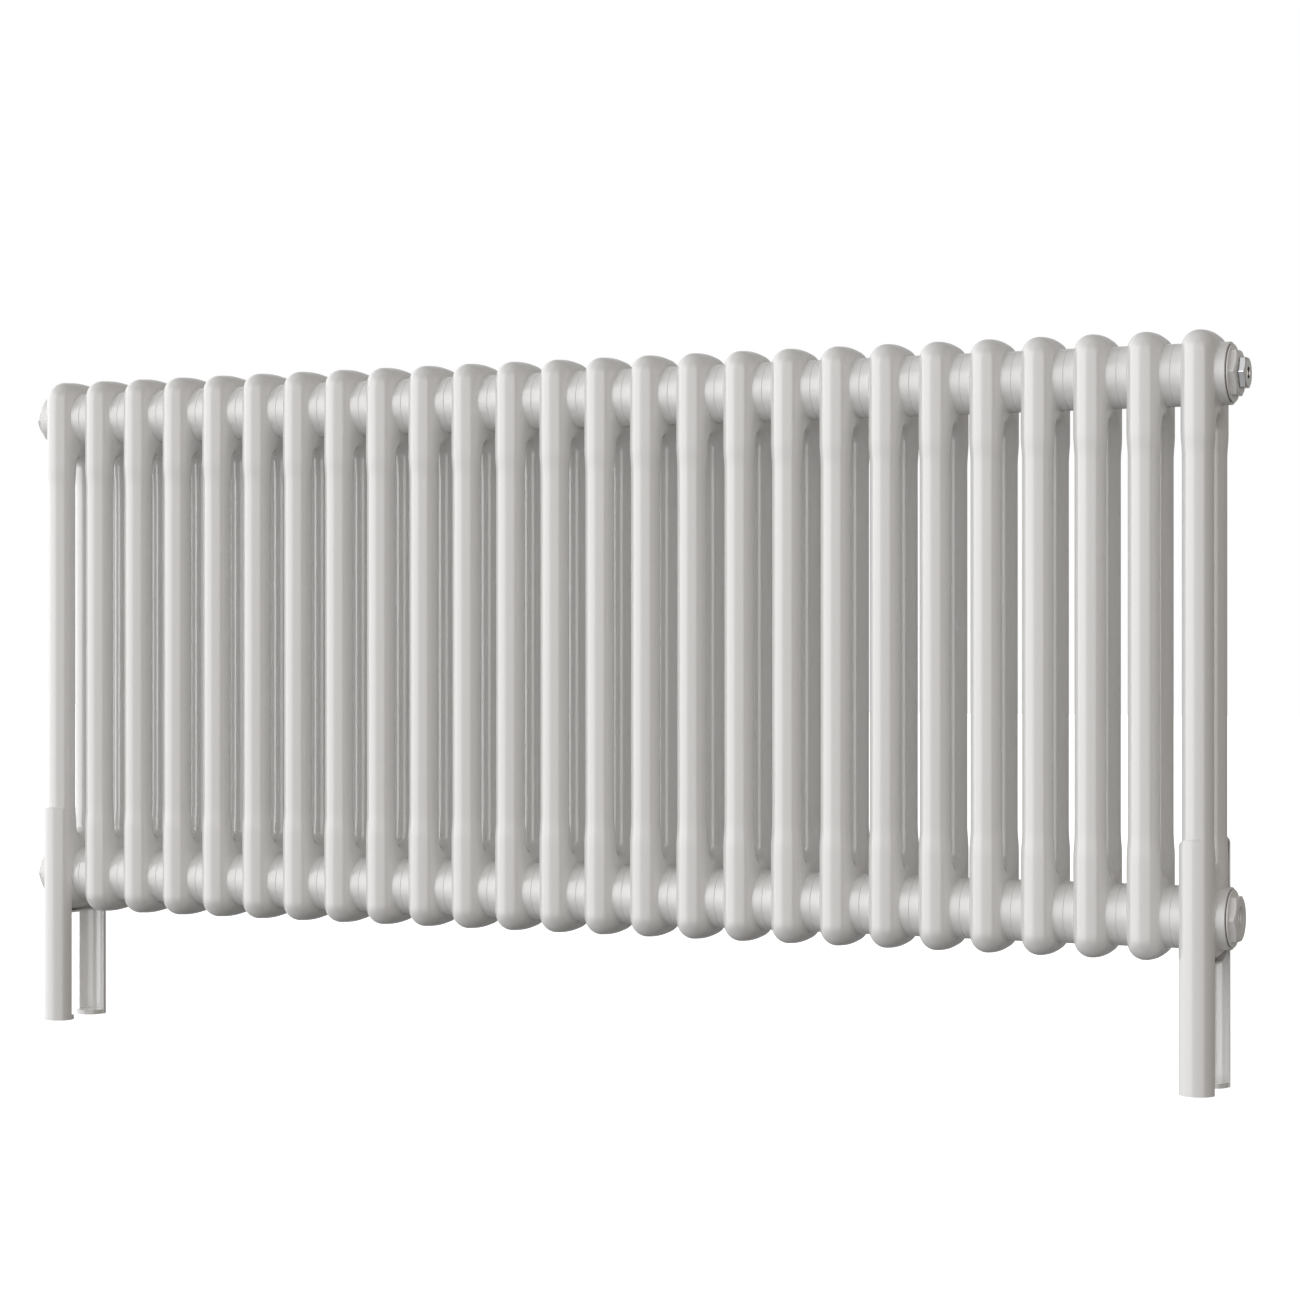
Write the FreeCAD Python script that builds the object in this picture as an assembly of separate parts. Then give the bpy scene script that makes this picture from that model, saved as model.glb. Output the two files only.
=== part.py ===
"""Two-column tubular steel radiator on four slip-on feet, in millimetres.

The sections stand side by side along X.  Y runs from the front column (-Y) to the rear column (+Y),
and Z is up.  The origin is on the floor under the middle of the radiator.
"""
import FreeCAD, Part
import math
import os
from FreeCAD import Vector

# ---- sections -------------------------------------------------------------------------------
SECTIONS = 26                # number of sections
PITCH = 43.5                 # one section, hub face to hub face
BODY_HEIGHT = 500.0          # crest of the top head to crest of the bottom head
COLUMN_SPACING = 43.0        # front column axis to rear column axis
TUBE_OD = 25.0               # column tube
HEAD_SWELL = 1.0             # how much the pressed head is fuller than the tube, on the radius
STEEL_WALL = 1.4             # wall of the tubes and heads
HUB_OD = 50.0                # round neck that joins one head to the next
WEB_DEPTH = 13.0             # from the underside of the hub to the crotch between the columns
HEAD_FADE = 20.0             # length over which the head's leg narrows to the tube
SHOULDER_R = 5.0             # bend of the head's middle line at its two corners

# ---- threaded end rings and reducing bushes ---------------------------------------------------
HUB_THREAD_R = 19.48         # minor radius of the G 1 1/4 thread in the hub
PORT_THREAD_R = 9.32         # minor radius of the G 1/2 thread in each bush
THREAD_CLEARANCE = 0.05      # radial, on each plain stub that stands for a male thread
END_RING_LENGTH = 14.0       # threaded ring welded into each outer hub
WELD_CLEARANCE = 0.03        # radial, between a welded-in piece and what it sits in
GASKET_THICKNESS = 0.6       # hub gasket, squeezed
GASKET_INSET = 1.0           # gasket's bore, clear of the thread by this much on the radius
BUSH_STUB = 12.0             # threaded part of the bush inside the hub
BUSH_FLANGE_OD = 46.0
BUSH_FLANGE = 1.2            # flange thickness
BUSH_HEX_AF = 35.3
BUSH_HEX = 5.5               # height of the hexagon above the flange
HEX_CROWN = 0.96             # flat round face of a chamfered hexagon, as a share of its flats
HEX_CHAMFER_RUN = 2.0        # radius lost per millimetre of height on that chamfer

# ---- blanking plug, air vent and their sealing rings ------------------------------------------
SEAL_THICKNESS = 0.6         # sealing ring between bush and plug, squeezed
SEAL_WIDTH = 1.6             # radial width of that ring
PLUG_HEX_AF = 23.6
PLUG_HEX = 5.3
PLUG_STUB = 9.0
VENT_RECESS_R = 4.6          # round recess in the vent's face, around the screw's head
VENT_RECESS = 2.8            # depth of that recess
VENT_SCREW_BORE_R = 2.5      # thread crest radius of the M5 hole for the bleed screw
VENT_WATER_R = 1.2           # water passage behind the seat
VENT_OUTLET_R = 1.0          # bleed outlet down through the hexagon's lower flat
SCREW_ROOT_R = 2.1           # thread root radius of the M5 bleed screw
SCREW_THREAD = 6.6           # length of the screw from its tip to the underside of its head
SCREW_HEAD_AF = 5.0          # square head for a radiator key
SCREW_HEAD = 1.7
SCREW_SLOT = 0.9
SCREW_SLOT_DEPTH = 0.9
TIP_SEAL_R = 1.9
TIP_SEAL = 0.8               # thickness of the soft disc on the screw's tip
RUNNING_GAP = 0.05           # face gap either side of the tip seal

# ---- slip-on feet -----------------------------------------------------------------------------
FOOT_HEIGHT = 200.0          # top edge of the half-round shell above the floor
FOOT_CLEAR = 102.0           # floor to the crest of the bottom head
FOOT_OFFSET = 3.0            # shell axis outboard of the column axis
FOOT_WALL = 1.0
FOOT_CLEARANCE = 0.1         # least gap from shell to head
FOOT_CORNER_R = 8.0          # rounded upper corners of the shell
FOOT_BASE = 4.0              # thickness of the round base disc
FLOOR_SCREW_R = 2.6          # clearance hole for a 5 mm floor screw
SADDLE_THICKNESS = 1.8       # bent strap under the bottom head, front shell to rear shell
SADDLE_WIDTH = 20.0

# ---- worked out from the above ----------------------------------------------------------------
COLUMN_Y = COLUMN_SPACING / 2
TUBE_R = TUBE_OD / 2
HEAD_R = TUBE_R + HEAD_SWELL
HEAD_HALF = COLUMN_Y + HEAD_R  # half the head's depth, and its crest above the hub axis
SHOULDER_AT = COLUMN_Y - SHOULDER_R
HUB_R = HUB_OD / 2
CROTCH_DROP = HUB_R + WEB_DEPTH + COLUMN_Y - HEAD_R
HEAD_REACH = CROTCH_DROP + HEAD_FADE
BOTTOM_Z = FOOT_CLEAR + HEAD_HALF
TOP_Z = FOOT_CLEAR + BODY_HEIGHT - HEAD_HALF
HUB_BORE_R = HUB_R - STEEL_WALL
BODY_END_X = SECTIONS * PITCH / 2
END_SECTION_X = BODY_END_X - PITCH / 2
BUSH_SEAT_X = BODY_END_X + GASKET_THICKNESS
BUSH_FACE_X = BUSH_SEAT_X + BUSH_FLANGE + BUSH_HEX
PLUG_SEAT_X = BUSH_FACE_X + SEAL_THICKNESS
PLUG_FACE_X = PLUG_SEAT_X + PLUG_HEX
SCREW_FLOOR_X = PLUG_FACE_X - VENT_RECESS
SCREW_TIP_X = SCREW_FLOOR_X - SCREW_THREAD + RUNNING_GAP
TIP_SEAT_X = SCREW_TIP_X - TIP_SEAL - 2 * RUNNING_GAP
FOOT_Y = COLUMN_Y + FOOT_OFFSET
FOOT_OPEN_Y = HUB_R + FOOT_CLEARANCE
FOOT_IN_R = (HEAD_R ** 2 - FOOT_OFFSET ** 2) ** 0.5 + FOOT_CLEARANCE
FOOT_OUT_R = FOOT_IN_R + FOOT_WALL

TINY = 1e-6                  # two measures closer than this are the same
ALONG_X = Vector(1, 0, 0)
DOWN = Vector(0, 0, -1)


def rod(radius, x0, x1, z=0.0):
    """Solid cylinder along X from x0 to x1."""
    return Part.makeCylinder(radius, x1 - x0, Vector(x0, 0, z), ALONG_X)


def ring(outer, inner, x0, x1, z=0.0):
    """Flat ring or short tube along X."""
    return rod(outer, x0, x1, z).cut(rod(inner, x0, x1, z))


def hexagon(across_flats, x0, x1, z=0.0):
    """Hexagonal prism along X with level flats above and below and a chamfered outer face."""
    corner = across_flats / 3 ** 0.5
    turns = [math.radians(60 * k) for k in range(7)]
    points = [Vector(x0, corner * math.cos(turn), z + corner * math.sin(turn)) for turn in turns]
    prism = Part.Face(Part.makePolygon(points)).extrude(Vector(x1 - x0, 0, 0))
    crown_r = across_flats / 2 * HEX_CROWN
    crown_h = x1 - x0 + corner - crown_r
    crown = Part.makeCone(crown_r + crown_h * HEX_CHAMFER_RUN, crown_r, crown_h,
                          Vector(x1 - crown_h, 0, z), ALONG_X)
    return prism.common(crown)


def pill(spacing, round_r, y_from):
    """Flat cross-section of a head: parallel faces with half-round ends, from y_from to the +Y end."""
    right_low = Vector(round_r, y_from, 0)
    right_high = Vector(round_r, spacing, 0)
    tip = Vector(0, spacing + round_r, 0)
    left_high = Vector(-round_r, spacing, 0)
    left_low = Vector(-round_r, y_from, 0)
    edges = [Part.makeLine(right_low, right_high), Part.Arc(right_high, tip, left_high).toShape(),
             Part.makeLine(left_high, left_low)]
    if y_from < 0:
        edges.append(Part.Arc(left_low, Vector(0, y_from - round_r, 0), right_low).toShape())
    else:
        edges.append(Part.makeLine(left_low, right_low))
    return Part.Face(Part.Wire(edges))


def crotch_tool(round_r):
    """Cutter that leaves the rounded inside bend where the two legs of a head part."""
    wide = HUB_R
    shoulder = Vector(round_r, COLUMN_Y, 0)
    bend = Part.Arc(shoulder, Vector(0, COLUMN_Y - round_r, 0), Vector(-round_r, COLUMN_Y, 0))
    edges = [Part.makeLine(Vector(wide, 0, 0), Vector(wide, COLUMN_Y, 0)),
             Part.makeLine(Vector(wide, COLUMN_Y, 0), shoulder),
             bend.toShape(),
             Part.makeLine(Vector(-round_r, COLUMN_Y, 0), Vector(-wide, COLUMN_Y, 0)),
             Part.makeLine(Vector(-wide, COLUMN_Y, 0), Vector(-wide, 0, 0)),
             Part.makeLine(Vector(-wide, 0, 0), Vector(wide, 0, 0))]
    tool = Part.Face(Part.Wire(edges)).revolve(Vector(0, 0, 0), ALONG_X, 180)
    tool.translate(Vector(0, 0, -CROTCH_DROP))
    return tool


def ridge(round_r):
    """Straight top of a head between its shoulders, half-round along its crest."""
    bar = pill(SHOULDER_R, round_r, 0.0)
    bar.rotate(Vector(0, 0, 0), ALONG_X, 90)
    bar.translate(Vector(0, -SHOULDER_AT, SHOULDER_AT))
    return bar.extrude(Vector(0, 2 * SHOULDER_AT, 0))


def head_body(round_r, tube_r, hub_r):
    """Square-shouldered head about the hub axis, with its legs, web and hub neck, filled solid."""
    legs = pill(COLUMN_Y, round_r, -COLUMN_Y)
    legs.translate(Vector(0, 0, SHOULDER_AT))
    legs = legs.extrude(Vector(0, 0, -SHOULDER_AT - CROTCH_DROP)).cut(crotch_tool(round_r))
    shoulders = [pill(SHOULDER_R, round_r, 0.0).revolve(Vector(0, 0, 0), ALONG_X, 180) for _ in range(2)]
    for side, shoulder in zip((-1, 1), shoulders):
        shoulder.translate(Vector(0, side * SHOULDER_AT, SHOULDER_AT))
    fades = [Part.makeCone(round_r, tube_r, HEAD_FADE, Vector(0, side * COLUMN_Y, -CROTCH_DROP), DOWN)
             for side in (-1, 1)]
    neck = rod(hub_r, -PITCH / 2, PITCH / 2)
    return legs.fuse([ridge(round_r)] + shoulders + fades + [neck]).removeSplitter()


def hollow_head():
    """One pressed head, hollow, open to both tubes and through the hub."""
    outside = head_body(HEAD_R, TUBE_R, HUB_R)
    inside = head_body(HEAD_R - STEEL_WALL, TUBE_R - STEEL_WALL, HUB_BORE_R)
    return outside.cut(inside)


def column_tube(side):
    """Straight tube between the legs of the top and bottom heads."""
    low = BOTTOM_Z + HEAD_REACH
    length = TOP_Z - HEAD_REACH - low
    foot = Vector(0, side * COLUMN_Y, low)
    return Part.makeCylinder(TUBE_R, length, foot).cut(Part.makeCylinder(TUBE_R - STEEL_WALL, length, foot))


def section():
    """One section at X = 0: top head, bottom head, front tube and rear tube."""
    top = hollow_head()
    bottom = top.copy()
    bottom.rotate(Vector(0, 0, 0), ALONG_X, 180)
    top.translate(Vector(0, 0, TOP_Z))
    bottom.translate(Vector(0, 0, BOTTOM_Z))
    return [top, bottom, column_tube(-1), column_tube(1)]


def end_ring(z):
    """Threaded ring welded flush into the hub of an end section, at the +X end."""
    return ring(HUB_BORE_R - WELD_CLEARANCE, HUB_THREAD_R, BODY_END_X - END_RING_LENGTH, BODY_END_X, z)


def hub_gasket(z):
    """Flat gasket between the hub face and the bush's flange."""
    return ring(BUSH_FLANGE_OD / 2, HUB_THREAD_R + GASKET_INSET, BODY_END_X, BUSH_SEAT_X, z)


def bush(z):
    """Reducing bush G 1 1/4 to G 1/2: threaded stub, thin flange and chamfered hexagon."""
    stub = rod(HUB_THREAD_R - THREAD_CLEARANCE, BUSH_SEAT_X - BUSH_STUB, BUSH_SEAT_X, z)
    flange = rod(BUSH_FLANGE_OD / 2, BUSH_SEAT_X, BUSH_SEAT_X + BUSH_FLANGE, z)
    nut = hexagon(BUSH_HEX_AF, BUSH_SEAT_X + BUSH_FLANGE, BUSH_FACE_X, z)
    port = rod(PORT_THREAD_R, BUSH_SEAT_X - BUSH_STUB, BUSH_FACE_X, z)
    return stub.fuse([flange, nut]).removeSplitter().cut(port)


def plug_seal(z):
    """Sealing ring between a bush's face and the plug or vent in it."""
    return ring(PORT_THREAD_R + SEAL_WIDTH, PORT_THREAD_R, BUSH_FACE_X, PLUG_SEAT_X, z)


def plug(z):
    """Blanking plug G 1/2 with a chamfered hexagon."""
    stub = rod(PORT_THREAD_R - THREAD_CLEARANCE, PLUG_SEAT_X - PLUG_STUB, PLUG_SEAT_X, z)
    return stub.fuse(hexagon(PLUG_HEX_AF, PLUG_SEAT_X, PLUG_FACE_X, z)).removeSplitter()


def vent_body(z):
    """Air vent G 1/2: a plug with a recess, a screw hole, a seat, a water passage and a side outlet."""
    body = plug(z)
    inner_end = PLUG_SEAT_X - PLUG_STUB
    recess = rod(VENT_RECESS_R, SCREW_FLOOR_X, PLUG_FACE_X, z)
    screw_hole = rod(VENT_SCREW_BORE_R, TIP_SEAT_X, SCREW_FLOOR_X, z)
    water = rod(VENT_WATER_R, inner_end, TIP_SEAT_X, z)
    outlet_x = (PLUG_SEAT_X + SCREW_FLOOR_X) / 2
    outlet = Part.makeCylinder(VENT_OUTLET_R, PLUG_HEX_AF, Vector(outlet_x, 0, z), DOWN)
    return body.cut(recess.fuse([screw_hole, water, outlet]))


def bleed_screw(z):
    """Bleed screw, closed: plain shank for the M5 thread, square head with a slot across it."""
    head_x = SCREW_FLOOR_X + RUNNING_GAP
    shank = rod(SCREW_ROOT_R, SCREW_TIP_X, head_x, z)
    half = SCREW_HEAD_AF / 2
    head = Part.makeBox(SCREW_HEAD, SCREW_HEAD_AF, SCREW_HEAD_AF, Vector(head_x, -half, z - half))
    slot_corner = Vector(head_x + SCREW_HEAD - SCREW_SLOT_DEPTH, -SCREW_SLOT / 2, z - half)
    slot = Part.makeBox(SCREW_SLOT_DEPTH, SCREW_SLOT, SCREW_HEAD_AF, slot_corner)
    return shank.fuse(head).removeSplitter().cut(slot)


def tip_seal(z):
    """Soft disc that the tip of the bleed screw presses on the seat."""
    back = SCREW_TIP_X - RUNNING_GAP
    return rod(TIP_SEAL_R, back - TIP_SEAL, back, z)


def foot_shell(side):
    """Half-round shell of one foot at X = 0, open towards the middle of the radiator."""
    axis = Vector(0, side * FOOT_Y, 0)
    shell = Part.makeCylinder(FOOT_OUT_R, FOOT_HEIGHT, axis)
    shell = shell.cut(Part.makeCylinder(FOOT_IN_R, FOOT_HEIGHT, axis))
    depth = FOOT_Y + FOOT_OUT_R - FOOT_OPEN_Y
    near = min(side * FOOT_OPEN_Y, side * (FOOT_OPEN_Y + depth))
    keep = Part.makeBox(2 * FOOT_OUT_R, depth, FOOT_HEIGHT, Vector(-FOOT_OUT_R, near, 0))
    corners = [edge for edge in keep.Edges
               if edge.BoundBox.ZMin > FOOT_HEIGHT - TINY and edge.BoundBox.XLength < TINY]
    return shell.common(keep.makeFillet(FOOT_CORNER_R, corners))


def foot_base(side):
    """Round base disc inside one shell, with a floor-screw hole; its open side shows as a lip."""
    axis = Vector(0, side * FOOT_Y, 0)
    disc = Part.makeCylinder(FOOT_IN_R - WELD_CLEARANCE, FOOT_BASE, axis)
    return disc.cut(Part.makeCylinder(FLOOR_SCREW_R, FOOT_BASE, axis))


def cradle(reach):
    """Block below the bottom hub axis with the outline of the head grown to the given reach."""
    block = Part.makeBox(SADDLE_WIDTH, 2 * reach, reach, Vector(-SADDLE_WIDTH / 2, -reach, BOTTOM_Z - reach))
    corners = [edge for edge in block.Edges
               if edge.BoundBox.ZMax < BOTTOM_Z - reach + TINY and edge.BoundBox.YLength < TINY]
    return block.makeFillet(reach - SHOULDER_AT, corners)


def foot_saddle():
    """Bent strap that carries the bottom head and joins the front shell to the rear shell."""
    reach = HEAD_HALF + SADDLE_THICKNESS
    low = BOTTOM_Z - reach
    strap = cradle(reach).cut(cradle(HEAD_HALF))
    middle = Part.makeBox(SADDLE_WIDTH, 2 * FOOT_OPEN_Y, reach,
                          Vector(-SADDLE_WIDTH / 2, -FOOT_OPEN_Y, low))
    insides = [Part.makeCylinder(FOOT_IN_R - WELD_CLEARANCE, reach, Vector(0, side * FOOT_Y, low))
               for side in (-1, 1)]
    return strap.common(middle.fuse(insides).removeSplitter())


def at_end(shape, left):
    """A piece made for the +X end, or its turned twin for the -X end."""
    placed = shape.copy()
    if left:
        placed.rotate(Vector(0, 0, 0), Vector(0, 0, 1), 180)
    return placed


def build():
    """All pieces by node name."""
    nodes = {}
    pattern = section()
    for number in range(SECTIONS):
        x = -END_SECTION_X + number * PITCH
        solids = [solid.copy() for solid in pattern]
        for solid in solids:
            solid.translate(Vector(x, 0, 0))
        nodes["section_%02d" % (number + 1)] = Part.makeCompound(solids)
    for end, left in (("left", True), ("right", False)):
        for level, z in (("top", TOP_Z), ("bottom", BOTTOM_Z)):
            place = "%s_%s" % (level, end)
            nodes["end_ring_" + place] = at_end(end_ring(z), left)
            nodes["hub_gasket_" + place] = at_end(hub_gasket(z), left)
            nodes["reducing_bush_" + place] = at_end(bush(z), left)
        foot_pieces = {"foot_saddle_" + end: foot_saddle()}
        for row, side in (("front", -1), ("rear", 1)):
            foot_pieces["foot_shell_%s_%s" % (row, end)] = foot_shell(side)
            foot_pieces["foot_base_%s_%s" % (row, end)] = foot_base(side)
        for name, shape in foot_pieces.items():
            shape.translate(Vector(-END_SECTION_X if left else END_SECTION_X, 0, 0))
            nodes[name] = shape
    nodes["blanking_plug"] = at_end(plug(TOP_Z), True)
    nodes["plug_seal_ring"] = at_end(plug_seal(TOP_Z), True)
    nodes["air_vent_body"] = vent_body(TOP_Z)
    nodes["vent_seal_ring"] = plug_seal(TOP_Z)
    nodes["bleed_screw"] = bleed_screw(TOP_Z)
    nodes["bleed_tip_seal"] = tip_seal(TOP_Z)
    return nodes


os.makedirs("parts", exist_ok=True)
for name, shape in build().items():
    shape.exportStep(os.path.join("parts", name + ".step"))
    print("%-28s valid %s, %d solids, %.0f mm3" % (name, shape.isValid(), len(shape.Solids), shape.Volume))
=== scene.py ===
"""Two-column steel radiator on slip-on feet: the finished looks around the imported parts.

Everything is in metres, in the parts' own frame: the sections stand along X, the front columns are
at -Y and Z is up.  The camera comes first, then finishes, then one function for each kind of piece.
"""

import math

import bmesh
import bpy
import numpy as np
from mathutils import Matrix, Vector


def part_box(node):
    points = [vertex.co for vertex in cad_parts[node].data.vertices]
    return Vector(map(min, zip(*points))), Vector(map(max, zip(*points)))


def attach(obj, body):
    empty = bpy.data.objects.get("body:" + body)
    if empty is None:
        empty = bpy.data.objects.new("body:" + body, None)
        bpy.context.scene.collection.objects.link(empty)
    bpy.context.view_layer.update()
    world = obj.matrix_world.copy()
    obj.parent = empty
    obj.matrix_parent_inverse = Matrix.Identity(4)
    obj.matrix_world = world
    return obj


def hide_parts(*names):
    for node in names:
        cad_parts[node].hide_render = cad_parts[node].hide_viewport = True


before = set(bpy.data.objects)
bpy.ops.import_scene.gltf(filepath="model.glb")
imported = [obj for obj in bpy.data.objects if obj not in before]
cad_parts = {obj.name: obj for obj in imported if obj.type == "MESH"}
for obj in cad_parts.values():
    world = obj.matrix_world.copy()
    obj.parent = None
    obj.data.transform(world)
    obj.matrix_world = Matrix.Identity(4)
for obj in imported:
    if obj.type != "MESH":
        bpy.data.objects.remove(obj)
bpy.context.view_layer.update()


def middle(node):
    """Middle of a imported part's box."""
    low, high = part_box(node)
    return (low + high) / 2


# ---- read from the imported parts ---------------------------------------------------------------
SECTION_NODES = sorted(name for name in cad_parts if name.startswith("section_"))
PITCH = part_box(SECTION_NODES[0])[1].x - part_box(SECTION_NODES[0])[0].x
FIRST_X = middle(SECTION_NODES[0]).x
HEAD_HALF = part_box(SECTION_NODES[0])[1].y
TOP_Z = middle("end_ring_top_right").z
BOTTOM_Z = middle("end_ring_bottom_right").z
END_X = middle("foot_saddle_right").x
BODY_END_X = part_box("end_ring_top_right")[1].x
BUSH_SEAT_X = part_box("hub_gasket_top_right")[1].x
BUSH_INNER_X, BUSH_FACE_X = (corner.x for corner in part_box("reducing_bush_top_right"))
BUSH_FLANGE_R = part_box("reducing_bush_top_right")[1].y
GASKET_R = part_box("hub_gasket_top_right")[1].y
PLUG_SEAT_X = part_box("vent_seal_ring")[1].x
SEAL_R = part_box("vent_seal_ring")[1].y
PLUG_INNER_X, PLUG_FACE_X = (corner.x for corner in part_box("air_vent_body"))
FOOT_TOP_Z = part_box("foot_shell_front_right")[1].z
FOOT_OUT_R = (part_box("foot_shell_front_right")[1].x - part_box("foot_shell_front_right")[0].x) / 2
FOOT_OPEN_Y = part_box("foot_shell_rear_right")[0].y
FOOT_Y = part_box("foot_shell_rear_right")[1].y - FOOT_OUT_R
SADDLE_LOW_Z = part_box("foot_saddle_right")[0].z
SADDLE_HALF_X = (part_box("foot_saddle_right")[1].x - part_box("foot_saddle_right")[0].x) / 2

# ---- sections ---------------------------------------------------------------------------------
TUBE_R = 0.0125
HEAD_R = 0.0135
COLUMN_Y = HEAD_HALF - HEAD_R
SHOULDER_R = 0.005           # bend of the head's middle line at its two corners
SHOULDER_AT = COLUMN_Y - SHOULDER_R
CREST_BOW = 0.001            # how much lower the crest is at its shoulders than in the middle
HUB_R = 0.025
CROTCH_DROP = 0.046          # below the hub's axis, where the two legs are fully apart
HEAD_FADE = 0.020            # length over which the head narrows to the tube
HUB_FILLET = 0.0009          # reach of the soft blend where the hub leaves the head
HUB_EDGE = 0.0006            # rounding at the hub's welded edge
COLLAR_X = 0.0190            # from here out to the weld the hub is a plain turned collar
HUB_BORE_R = 0.0236
CELL = 0.00175               # size of the skin's faces on the heads
FINE_CELL = 0.00075          # and across the blend into the hub
FINE_FROM = 0.0120           # distance from a section's middle where they begin
SECTIONS_PER_PIECE = 4

# ---- bushes, plug and vent --------------------------------------------------------------------
RING_BORE_R = 0.01948        # threaded ring in the end of the hub
GASKET_CLEARANCE = 0.001     # from that bore to the gasket's hole
PORT_R = 0.00932
BUSH_STUB_R = 0.01943
BUSH_FLANGE = 0.0012
BUSH_APOTHEM = 0.01765
PLUG_APOTHEM = 0.0118
PLUG_STUB_R = 0.00927
HEX_CROWN = 0.96
HEX_CHAMFER_RUN = 2.0
HEX_CORNER = 70              # sharpness of the hexagon's six corners
EDGE = 0.00025               # rounding on machined edges
THREAD_PITCH = 0.001814      # 14 threads to the inch
THREAD_DEPTH = 0.00045
THREAD_STEPS = 8             # rows of faces for each turn of the thread
MOUTH_CHAMFER = 0.0007
RECESS_R = 0.0046
RECESS = 0.0028
SCREW_BORE_R = 0.0025
WATER_HOLE_R = 0.0012        # from the vent's inner end to the screw's seat
VENT_OUTLET_R = 0.0010
VENT_OUTLET_START = 0.0035   # below the vent's axis
SCREW_HEAD = 0.0017
SCREW_HEAD_AF = 0.0050
SCREW_CREST_R = 0.0021
SCREW_SLOT = 0.0009
SCREW_SLOT_DEPTH = 0.0009
SCREW_EDGE = 0.00018
SCREW_THREAD_PITCH = 0.0008
SCREW_THREAD_DEPTH = 0.0002
SCREW_THREAD_ROWS = 60

# ---- feet -------------------------------------------------------------------------------------
FOOT_WALL = 0.0010
FOOT_CORNER_R = 0.008
FLOOR_SCREW_R = 0.0026
SHEET_EDGE = 0.0003          # rounding on the edges of bent sheet
WELD_GAP = 0.00003
FOOT_STRIPS = 40             # flat strips round the half-round shell
FOOT_LEVELS = (0, 0.02, 0.3, 0.7, 0.9, 0.96, 1)    # rows up the shell, as shares of its height

# ---- camera and light -------------------------------------------------------------------------
CAMERA_LENS = 79.33
CAMERA_SENSOR = 36.0
CAMERA_SHIFT_Y = -0.0031
CAMERA_X = 1.1025
CAMERA_Y = -2.2411
CAMERA_TURN = 24.96          # degrees to the left of straight at the radiator
FLOOR_HALF = 12.0
# Brightness by turn in degrees from straight ahead of the radiator, rising toward its right end,
# and by height from straight down (-1) to straight up (1).
FILL_STRENGTH = 1.02
FILL_WALLS = [(-180, (0.35, 0.35, 0.35)), (-120, (1.0, 1.0, 1.0)), (-60, (1.5, 1.5, 1.5)),
              (-25, (1.25, 1.25, 1.25)), (0, (0.90, 0.895, 0.89)), (40, (0.66, 0.64, 0.615)),
              (60, (0.50, 0.47, 0.44)), (85, (0.37, 0.34, 0.31)), (150, (0.28, 0.27, 0.26)),
              (180, (0.35, 0.35, 0.35))]
FILL_LEVELS = [(-1, 0.22), (-0.4, 0.32), (-0.1, 0.9), (0.2, 1.0), (0.6, 0.75), (1, 0.55)]
PANEL_STRENGTH = 7.2
PANELS = [(-180, (0.06, 0.06, 0.06)), (-150, (0.10, 0.10, 0.10)), (-114, (0.30, 0.30, 0.30)),
          (-74, (0.56, 0.56, 0.56)), (-34, (0.66, 0.66, 0.66)), (-24, (0.66, 0.66, 0.66)),
          (-8, (0.34, 0.34, 0.34)), (16, (0.36, 0.36, 0.355)), (34, (0.42, 0.42, 0.415)),
          (50, (0.42, 0.412, 0.40)), (66, (0.07, 0.06, 0.052)), (150, (0.05, 0.045, 0.04)),
          (180, (0.06, 0.06, 0.06))]
PANEL_LEVELS = [(-1, 0.08), (-0.7, 0.12), (-0.05, 0.85), (0.1, 1.0), (0.5, 0.85), (0.8, 0.25),
                (1, 0.12)]


# ---- camera -----------------------------------------------------------------------------------
def make_camera():
    """Level camera in front and to the right of the radiator, at half its body's height."""
    data = bpy.data.cameras.new("camera")
    data.lens = CAMERA_LENS
    data.sensor_width = CAMERA_SENSOR
    data.shift_y = CAMERA_SHIFT_Y
    camera = bpy.data.objects.new("camera", data)
    camera.location = (CAMERA_X, CAMERA_Y, (TOP_Z + BOTTOM_Z) / 2)
    camera.rotation_euler = (math.radians(90), 0, math.radians(CAMERA_TURN))
    bpy.context.scene.collection.objects.link(camera)
    bpy.context.scene.camera = camera


# ---- finishes ---------------------------------------------------------------------------------
def new_material(name):
    """Empty node material with its output and a Principled shader."""
    material = bpy.data.materials.new(name)
    material.use_nodes = True
    nodes = material.node_tree.nodes
    nodes.clear()
    output = nodes.new("ShaderNodeOutputMaterial")
    shader = nodes.new("ShaderNodeBsdfPrincipled")
    material.node_tree.links.new(shader.outputs["BSDF"], output.inputs["Surface"])
    return material, shader


def add_node(material, kind, inputs=None, **settings):
    """One shader node with its settings, input values and input links."""
    node = material.node_tree.nodes.new(kind)
    for key, value in settings.items():
        setattr(node, key, value)
    for key, value in (inputs or {}).items():
        if isinstance(value, bpy.types.NodeSocket):
            material.node_tree.links.new(value, node.inputs[key])
        else:
            node.inputs[key].default_value = value
    return node


def object_noise(material, scale, detail=2.0, stretch=(1, 1, 1)):
    """Noise that is fixed to the object, with feature size in metres set by its scale."""
    place = add_node(material, "ShaderNodeTexCoord").outputs["Object"]
    mapped = add_node(material, "ShaderNodeMapping", {"Vector": place, "Scale": stretch})
    return add_node(material, "ShaderNodeTexNoise",
                    {"Vector": mapped.outputs["Vector"], "Scale": scale, "Detail": detail}).outputs["Fac"]


def between(material, factor, low, high):
    """Maps a 0 to 1 factor onto a range of numbers."""
    return add_node(material, "ShaderNodeMapRange",
                    {"Value": factor, "To Min": low, "To Max": high}).outputs["Result"]


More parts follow.
